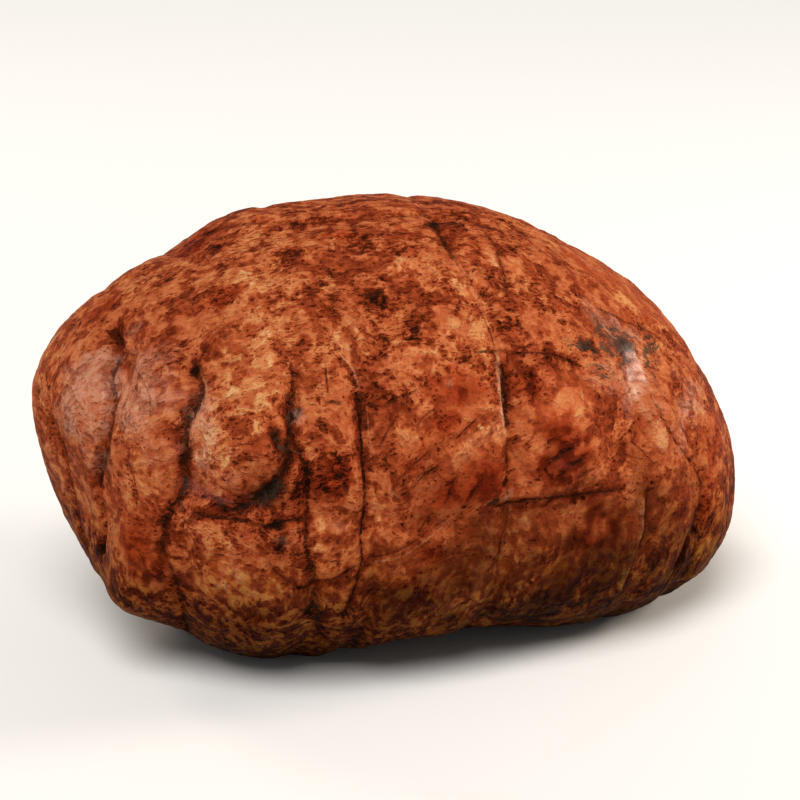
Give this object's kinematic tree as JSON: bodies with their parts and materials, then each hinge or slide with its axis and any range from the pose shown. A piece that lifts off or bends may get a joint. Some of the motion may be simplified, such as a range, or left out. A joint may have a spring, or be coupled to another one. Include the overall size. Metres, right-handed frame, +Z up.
{
  "type": "roast ham",
  "caption": "Whole boneless roast ham with string grooves round and along it, narrower at one end, lying on its flat side.",
  "frame": {"origin": "on the surface the ham lies on, under the middle of its box", "axes": "+X along the ham towards its round butt, -Y towards its front, +Z up"},
  "size_m": [0.285, 0.194, 0.1694],
  "materials": {
    "roasted_rind": "browned, streaked with dark char, part matt and part moist"
  },
  "bodies": {
    "root": {"ham": "roasted_rind"}
  },
  "joints": []
}
